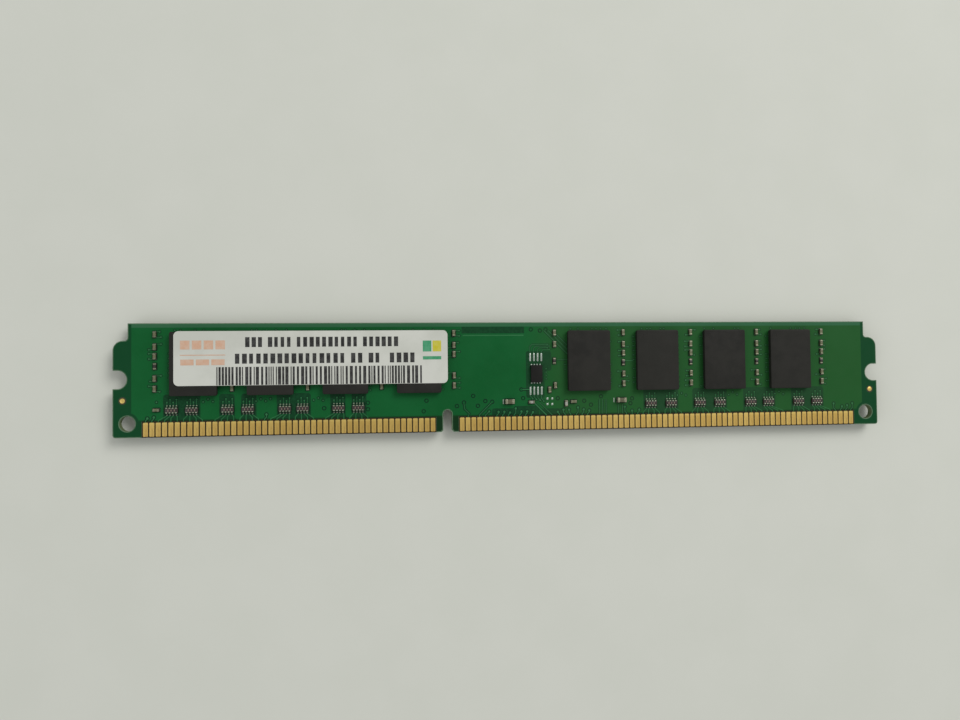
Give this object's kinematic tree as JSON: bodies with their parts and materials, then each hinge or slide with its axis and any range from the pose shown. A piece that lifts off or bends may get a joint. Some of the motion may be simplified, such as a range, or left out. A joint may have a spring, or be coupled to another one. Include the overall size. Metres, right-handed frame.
{
  "type": "ram module",
  "caption": "Very-low-profile memory module with gold edge contacts, an off-centre key notch, memory chips on both faces and a label over part of the front.",
  "frame": {"origin": "centre of the underside, on the surface that the back chips rest on", "axes": "+X along the board, with the key notch on the -X side of the middle; +Y from the contact edge to the top edge; +Z out of the front face, the one with the label"},
  "size_m": [0.1334, 0.0188, 0.0038],
  "materials": {
    "solder_mask": "satin green solder mask over glass-epoxy laminate",
    "gold_contacts": "hard gold plating, lightly wiped",
    "mould_compound": "fine matte moulded epoxy",
    "label_paper": "satin printed label film",
    "resistor_black": "black glaze on ceramic with tinned ends",
    "ceramic": "tan ceramic with tinned ends",
    "solder": "tin solder, dull silver"
  },
  "bodies": {
    "root": {"circuit_board": "solder_mask", "front_contacts_left_row": "gold_contacts", "front_contacts_right_row": "gold_contacts", "back_contacts_left_row": "gold_contacts", "back_contacts_right_row": "gold_contacts", "front_memory_chip_1": "mould_compound", "front_memory_chip_2": "mould_compound", "front_memory_chip_3": "mould_compound", "front_memory_chip_4": "mould_compound", "front_memory_chip_5": "mould_compound", "front_memory_chip_6": "mould_compound", "front_memory_chip_7": "mould_compound", "front_memory_chip_8": "mould_compound", "back_memory_chip_1": "mould_compound", "back_memory_chip_2": "mould_compound", "back_memory_chip_3": "mould_compound", "back_memory_chip_4": "mould_compound", "back_memory_chip_5": "mould_compound", "back_memory_chip_6": "mould_compound", "back_memory_chip_7": "mould_compound", "back_memory_chip_8": "mould_compound", "label": "label_paper", "configuration_chip": "mould_compound", "resistor_array_1": "resistor_black", "resistor_array_2": "resistor_black", "resistor_array_3": "resistor_black", "resistor_array_4": "resistor_black", "resistor_array_5": "resistor_black", "resistor_array_6": "resistor_black", "resistor_array_7": "resistor_black", "resistor_array_8": "resistor_black", "resistor_array_9": "resistor_black", "resistor_array_10": "resistor_black", "resistor_array_11": "resistor_black", "resistor_array_12": "resistor_black", "resistor_array_13": "resistor_black", "resistor_array_14": "resistor_black", "resistor_array_15": "resistor_black", "resistor_array_16": "resistor_black", "bulk_capacitor_1": "ceramic", "bulk_capacitor_2": "ceramic", "small_passive_1": "ceramic", "small_passive_2": "ceramic", "small_passive_3": "ceramic", "small_passive_4": "ceramic", "small_passive_5": "ceramic", "small_passive_6": "ceramic", "column_1_capacitor_1": "ceramic", "column_1_capacitor_2": "ceramic", "column_1_capacitor_3": "ceramic", "column_1_capacitor_4": "ceramic", "column_1_capacitor_5": "ceramic", "column_2_capacitor_1": "ceramic", "column_2_capacitor_2": "ceramic", "column_3_capacitor_1": "ceramic", "column_3_capacitor_2": "ceramic", "column_3_capacitor_3": "ceramic", "column_3_capacitor_4": "ceramic", "column_3_capacitor_5": "ceramic", "small_passive_7": "ceramic"}
  },
  "joints": []
}
